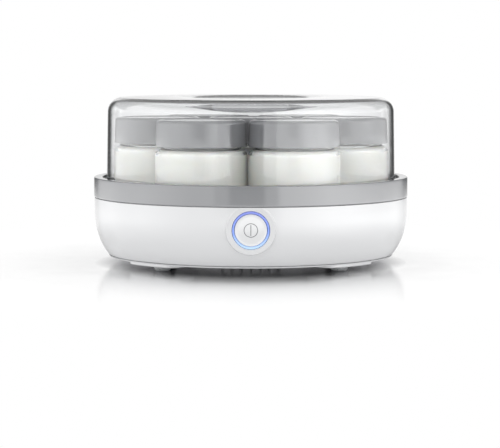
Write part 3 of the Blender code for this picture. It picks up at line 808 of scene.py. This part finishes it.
def make_foot_pads():
    """Pads under the plate with softened edges, one about each foot, trimmed to the plate's edge."""
    top = PLATE_BOTTOM + 0.3
    drops = [(0.0, top), (0.0, PAD_BOTTOM + PAD_EDGE)]
    for n in range(1, 6):
        turn = math.radians(18 * n)
        drops.append((PAD_EDGE * (1 - math.cos(turn)), PAD_BOTTOM + PAD_EDGE * (1 - math.sin(turn))))
    for place in FEET:
        foot = node_centre(f"foot_{place}")
        rings = [pad_outline(foot, inset, z) for inset, z in drops]
        rings += [foot_hole(foot, PAD_BOTTOM), foot_hole(foot, top)]
        pad = ring_solid(f"foot_pad_{place}", rings, WHITE)
        smooth(pad, 32.0)
        settle(pad, "base", "white_plastic")


def make_feet():
    """Push-in feet: a barbed head above the plate, a neck in its hole, and a round-edged sole."""
    collar = PAD_BOTTOM - GAP
    profile = [(0, 10.2), (3.4, 10.2), (4.2, 8.6), (3.0, 8.6), (3.0, collar), (5.4, collar)]
    profile += arc((4.2, 2.0), 2.0, 40, -90, 10) + [(3.6, 0.0), (3.2, 0.25), (0, 0.25)]
    for place in FEET:
        x, y = node_centre(f"foot_{place}")
        foot = turned(f"rubber_foot_{place}", profile, SILICONE_FOOT, 64, at=(x, y, 0.0))
        settle(foot, "base", "foot_rubber", f"foot_{place}")


# Cover

def cover_outside():
    """The clear cover's outer line, from the middle of its dish to its bottom edge."""
    line = []
    count = 28
    for n in range(count + 1):
        share = n / count
        rise = DISH_DEPTH * 0.5 * (1 - math.cos(math.pi * share**1.5))
        line.append((DISH_RADIUS * share, COVER_TOP - DISH_DEPTH + rise))
    centre = (COVER_SHOULDER_RADIUS - COVER_FILLET, COVER_TOP - 0.4 - COVER_FILLET)
    line += arc(centre, COVER_FILLET, 89, 0, 18)
    return line + [(COVER_RADIUS - 0.25, COVER_BOTTOM + 20.0), (COVER_RADIUS, COVER_BOTTOM + COVER_EDGE)]


def make_cover():
    outside = cover_outside()
    inside = offset(outside, COVER_WALL)
    edge = [(COVER_RADIUS - COVER_EDGE, COVER_BOTTOM), (COVER_RADIUS - COVER_WALL + 0.4, COVER_BOTTOM)]
    inside[-1] = (COVER_RADIUS - COVER_WALL, COVER_BOTTOM + COVER_EDGE)
    cover = turned("clear_cover", outside + edge + inside[::-1], CLEAR, 256)
    settle(cover, "cover", "clear_plastic", "cover")


# Jars

def jar_profile():
    """The glass: its inner side from the floor up, over the lip, and down its outer side."""
    neck = NECK_RADIUS - JAR_WALL
    body = JAR_RADIUS - JAR_WALL
    floor = JAR_BOTTOM + JAR_FLOOR
    line = [(0, floor), (body - 8.0, floor - 0.5)]
    line += arc((body - 5.0, floor + 4.5), 5.0, -75, 0, 6)
    line += shoulder_line(body, neck, -0.6)[::-1]
    line += [(neck, NECK_TOP - 0.8)] + arc((neck + 1.2, NECK_TOP - 1.2), 1.2, 180, 0, 8)
    bead = arc((NECK_RADIUS + 0.2, 97.4), 1.2, 75, -75, 6)
    line += [(NECK_RADIUS, 98.6)] + bead + [(NECK_RADIUS, 96.0)]
    line += shoulder_line(JAR_RADIUS, NECK_RADIUS, 0.0)
    line += arc((JAR_RADIUS - 4.0, JAR_BOTTOM + 4.0), 4.0, 0, -90, 8)
    line += [(JAR_RADIUS - 9.0, JAR_BOTTOM), (JAR_RADIUS - 11.0, JAR_BOTTOM + 0.8)]
    return line + [(0, JAR_BOTTOM + 1.6)]


def shoulder_line(body, neck, lift):
    """From the neck down round the shoulder to the straight side, in one smooth wave."""
    width = body - neck
    height = NECK_START - JAR_SHOULDER
    middle = ((body + neck) / 2, (NECK_START + JAR_SHOULDER) / 2 + lift)
    line = [(neck, NECK_START + 1.5 + lift)]
    count = 8
    for n in range(count + 1):
        share = n / count
        radius = middle[0] - width / 2 * math.cos(math.pi * share)
        line.append((radius, middle[1] + height / 2 * (1 - 2 * share)))
    return line + [(body, JAR_SHOULDER - 1.0 + lift)]


def lid_profile():
    """A screw lid: nearly upright skirt, round top edge, and a top sunk a little inside it."""
    edge = arc((LID_RADIUS - 0.8 - LID_EDGE, LID_TOP - LID_EDGE), LID_EDGE, 90, 0, 12)
    inner = LID_RADIUS - LID_WALL
    under = LID_TOP - 2.2
    sunk = LID_TOP - LID_SUNK
    line = [(0, sunk), (LID_RADIUS - 6.4, sunk)]
    line += arc((LID_RADIUS - 6.4, sunk + 0.5), 0.5, -90, 0, 4)[1:-1]
    line += [(LID_RADIUS - 5.8, LID_TOP - 0.3), (LID_RADIUS - 5.4, LID_TOP - 0.05)]
    line += edge + arc((LID_RADIUS - 0.5, LID_BOTTOM + 0.5), 0.5, 0, -90, 4)
    return line + [(inner, LID_BOTTOM), (inner - 0.4, under - 2.0), (inner - 3.2, under), (0, under)]


def yogurt_profile():
    """The yogurt: it wets the glass, 0.05 mm into it, with a low meniscus at its edge."""
    body = JAR_RADIUS - JAR_WALL + 0.05
    floor = JAR_BOTTOM + JAR_FLOOR
    neck = NECK_RADIUS - JAR_WALL
    top = [(0, YOGURT_TOP - 0.7), (neck - 1.0, YOGURT_TOP - 0.6), (body - 2.6, YOGURT_TOP - 0.2)]
    side = [(body - 1.7, YOGURT_TOP), (body - 0.4, YOGURT_TOP - 1.8), (body, YOGURT_TOP - 3.4)]
    base = arc((body - 5.0, floor + 4.5), 5.0, 0, -75, 6)
    return top + side + base + [(body - 8.0, floor - 0.55), (0, floor - 0.05)]


def make_jars():
    for label in JARS:
        x, y = node_centre(f"jar_{label}")
        at = (x, y, 0.0)
        jar = turned(f"glass_jar_{label}", jar_profile(), GLASS, 96, at=at)
        settle(jar, f"jar_{label}", "jar_glass", f"jar_{label}")
        fill = turned(f"yogurt_{label}", yogurt_profile(), YOGURT, 96, at=at)
        settle(fill, f"jar_{label}", "jar_glass")
        lid = turned(f"grey_lid_{label}", lid_profile(), LID_GREY, 96, at=at)
        settle(lid, f"lid_{label}", "lid_plastic", f"lid_{label}")


# Stage

FLOOR_RADIUS = 345.0
FLOOR_FADE_START = 140.0
GLOW = 1.15
GLOW_START = 107.0
GLOW_END = 153.0
MIRROR_START = 106.0
MIRROR_END = 340.0
# Radii over which the painted contact shadow in the floor's polish fades out
PAINTED_SHADOW_START = 96.0
PAINTED_SHADOW_END = 118.0


def make_floor():
    """A white table with a polish that mirrors the base at a low angle, fading out with distance, and a
    painted contact shadow: the polish is darker close round and under the base.
    """
    look = Look("pale_floor")
    look.set(Base_Color=(0.97, 0.97, 0.97, 1.0), Roughness=0.6, Specular_IOR_Level=0.0)
    length = look.node("ShaderNodeVectorMath", operation="LENGTH")
    look.join(look.place, length.inputs[0])
    distance = length.outputs["Value"]
    glow = look.node("ShaderNodeEmission")
    glow.inputs["Strength"].default_value = GLOW
    far = look.span(distance, MM * GLOW_START, MM * GLOW_END, 0.0, 1.0)
    base = mixed(look, far, look.shader.outputs["BSDF"], glow.outputs["Emission"])
    polish = look.node("ShaderNodeBsdfGlossy")
    look.join(look.span(look.noise(30.0, 2.0), 0.3, 0.7, 0.14, 0.17), polish.inputs["Roughness"])
    # Painted shadow: the polish's colour is darker close round and under the base, a contact shadow
    # painted into it
    shade = look.span(distance, MM * PAINTED_SHADOW_START, MM * PAINTED_SHADOW_END, 0.0, 1.0)
    look.join(look.blend(shade, (0.45, 0.45, 0.46), (1.0, 1.0, 1.0)), polish.inputs["Color"])
    near = look.span(distance, MM * MIRROR_START, MM * MIRROR_END, 1.0, 0.0)
    facing = look.node("ShaderNodeLayerWeight")
    low = look.span(facing.outputs["Facing"], 0.6, 0.88, 0.0, 1.0)
    share = look.node("ShaderNodeMath", operation="MULTIPLY")
    look.join(near, share.inputs[0])
    look.join(low, share.inputs[1])
    near_floor = mixed(look, share.outputs["Value"], base, polish.outputs["BSDF"])
    open_air = look.node("ShaderNodeBsdfTransparent")
    end = look.span(distance, MM * FLOOR_FADE_START, MM * FLOOR_RADIUS, 0.0, 1.0)
    whole = mixed(look, end, near_floor, open_air.outputs["BSDF"])
    look.join(whole, look.output.inputs["Surface"])
    floor = turned("floor", [(0, -0.01), (FLOOR_RADIUS, -0.01)], look.material, 96)


def mixed(look, factor, first, second):
    made = look.node("ShaderNodeMixShader")
    look.join(factor, made.inputs["Fac"])
    look.join(first, made.inputs[1])
    look.join(second, made.inputs[2])
    return made.outputs["Shader"]


# Brightness of what shiny and clear surfaces see, by the angle in degrees: 0 is the camera's side, and
# positive is to its right. The low panels show in the base, and the high ones in the cover and lids,
# with dark cards at the rear sides.
FRONT_PANELS = (
    (-62, 2.5),
    (-43, 2.1),
    (-27, 2.1),
    (-25, 1.5),
    (-16, 1.4),
    (-14, 0.5),
    (9, 0.5),
    (11, 1.6),
    (19, 1.7),
    (21, 2.9),
    (35, 3.3),
)
LOW_PANELS = (
    (-180, 1.04),
    (-166, 1.0),
    (-152, 1.1),
    (-144, 1.6),
    (-122, 2.5),
    (-84, 3.0),
    *FRONT_PANELS,
    (60, 4.2),
    (76, 4.2),
    (90, 3.9),
    (108, 3.2),
    (132, 2.3),
    (142, 1.6),
    (152, 1.1),
    (166, 1.0),
    (180, 1.04),
)
HIGH_PANELS = (
    (-180, 0.97),
    (-170, 0.92),
    (-166, 0.08),
    (-152, 0.08),
    (-144, 0.9),
    (-122, 1.7),
    (-84, 2.5),
    *FRONT_PANELS,
    (60, 3.9),
    (76, 3.2),
    (90, 2.3),
    (108, 1.6),
    (132, 1.1),
    (142, 0.8),
    (148, 0.08),
    (166, 0.08),
    (170, 1.0),
    (180, 0.97),
)
# The light on matt surfaces, and the stronger one on the yogurt. Its light is told apart by how many
# clear surfaces it has crossed, out of the jar and the cover.
SOFT_LIGHT = 1.035
JAR_LIGHT = 3.4
JAR_CROSSINGS = 5.5
# The least brightness in front of the white body, and the levels overhead and behind the cover's top
BODY_FILL = 2.4
CEILING = 0.8
DARK_TOP = 0.22
# Where one region of the studio passes into the next, by the direction's height (z) or depth (y)
FILL_HEIGHT = (-0.092, -0.087)
FILL_DEPTH = (-0.93, -0.85)
HIGH_PANELS_HEIGHT = (-0.074, -0.063)
CEILING_HEIGHT = (0.5, 0.75)
DARK_TOP_DEPTH = (0.5, 0.6)
DARK_TOP_HEIGHT = (0.18, 0.26)


class World:
    """The studio's nodes under construction."""

    def __init__(self):
        world = bpy.data.worlds.new("studio")
        bpy.context.scene.world = world
        world.use_nodes = True
        world.cycles.sampling_method = "NONE"
        self.tree = world.node_tree
        self.background = self.tree.nodes["Background"]

    def node(self, kind, **settings):
        made = self.tree.nodes.new(kind)
        for key, value in settings.items():
            setattr(made, key, value)
        return made

    def feed(self, socket, value):
        if isinstance(value, (int, float)):
            socket.default_value = value
        elif isinstance(value, tuple):
            socket.default_value = (*value, 1.0)
        else:
            self.tree.links.new(value, socket)

    def math(self, operation, *values):
        made = self.node("ShaderNodeMath", operation=operation)
        for socket, value in zip(made.inputs, values):
            self.feed(socket, value)
        return made.outputs["Value"]

    def step(self, source, ends):
        """Rises smoothly from 0 to 1 between two values of its source."""
        made = self.node("ShaderNodeMapRange", interpolation_type="SMOOTHSTEP")
        for key, value in zip(("Value", "From Min", "From Max"), (source, *ends)):
            self.feed(made.inputs[key], value)
        return made.outputs["Result"]

    def blend(self, factor, first, second):
        made = self.node("ShaderNodeMix", data_type="RGBA")
        for key, value in (("Factor", factor), ("A", first), ("B", second)):
            self.feed(made.inputs[key], value)
        return made.outputs["Result"]

    def ramp(self, share, panels):
        made = self.node("ShaderNodeValToRGB")
        self.feed(made.inputs["Fac"], share)
        stops = made.color_ramp.elements
        stops.remove(stops[-1])
        for n, (angle, level) in enumerate(panels):
            position = angle / 360.0 + 0.5
            stop = stops.new(position) if n else stops[0]
            stop.position = position
            stop.color = (level, level, level, 1.0)
        return made.outputs["Color"]


def make_world():
    """A white studio: lit panels left and right, a gap at the camera, dark cards at the rear sides.

    The camera sees plain white behind the object, and matt surfaces are lit evenly from all round.
    """
    world = World()
    split = world.node("ShaderNodeSeparateXYZ")
    world.feed(split.inputs["Vector"], world.node("ShaderNodeTexCoord").outputs["Generated"])
    x, y, z = (split.outputs[axis] for axis in "XYZ")
    azimuth = world.math("ARCTAN2", x, world.math("MULTIPLY", y, -1.0))
    turn = world.math("MULTIPLY_ADD", azimuth, 0.5 / math.pi, 0.5)
    low = world.ramp(turn, LOW_PANELS)
    high = world.ramp(turn, HIGH_PANELS)
    filled = world.math("MAXIMUM", low, BODY_FILL)
    beside = world.math("MAXIMUM", world.step(z, FILL_HEIGHT), world.step(y, FILL_DEPTH))
    low = world.blend(beside, filled, low)
    panels = world.blend(world.step(z, HIGH_PANELS_HEIGHT), low, high)
    panels = world.blend(world.step(z, CEILING_HEIGHT), panels, (CEILING,) * 3)
    behind = world.step(y, DARK_TOP_DEPTH)
    above = world.math("MULTIPLY", behind, world.step(z, DARK_TOP_HEIGHT))
    shiny = world.blend(above, panels, (DARK_TOP,) * 3)
    path = world.node("ShaderNodeLightPath")
    matt = world.math("GREATER_THAN", path.outputs["Diffuse Depth"], 0.5)
    in_jar = world.math("GREATER_THAN", path.outputs["Transmission Depth"], JAR_CROSSINGS)
    soft = world.blend(in_jar, (SOFT_LIGHT,) * 3, (JAR_LIGHT,) * 3)
    lit = world.blend(matt, shiny, soft)
    seen = world.blend(path.outputs["Is Camera Ray"], lit, (1.0,) * 3)
    world.feed(world.background.inputs["Color"], seen)


CAMERA_SIDE = -0.6
CAMERA_DISTANCE = 1600.0
CAMERA_HEIGHT = 164.0
CAMERA_LENS = 153.6
CAMERA_PITCH = 4.85


def make_camera():
    data = bpy.data.cameras.new("camera")
    data.lens = CAMERA_LENS
    data.clip_end = 20.0
    camera = bpy.data.objects.new("camera", data)
    camera.location = (MM * CAMERA_SIDE, -MM * CAMERA_DISTANCE, MM * CAMERA_HEIGHT)
    camera.rotation_euler = (math.radians(90 - CAMERA_PITCH), 0.0, 0.0)
    bpy.context.scene.collection.objects.link(camera)
    bpy.context.scene.camera = camera


def set_light_paths():
    scene = bpy.context.scene
    scene.view_settings.view_transform = "Standard"
    scene.cycles.max_bounces = 32
    scene.cycles.diffuse_bounces = 14
    scene.cycles.transmission_bounces = 32
    scene.cycles.glossy_bounces = 8
    scene.cycles.transparent_max_bounces = 24


dress_nodes()
make_camera()
make_world()
make_floor()
set_light_paths()
make_shell()
make_rim()
make_tub()
make_locators()
make_button()
make_symbol()
make_light_ring()
make_gland()
make_floor_plate()
make_foot_pads()
make_feet()
make_cover()
make_jars()
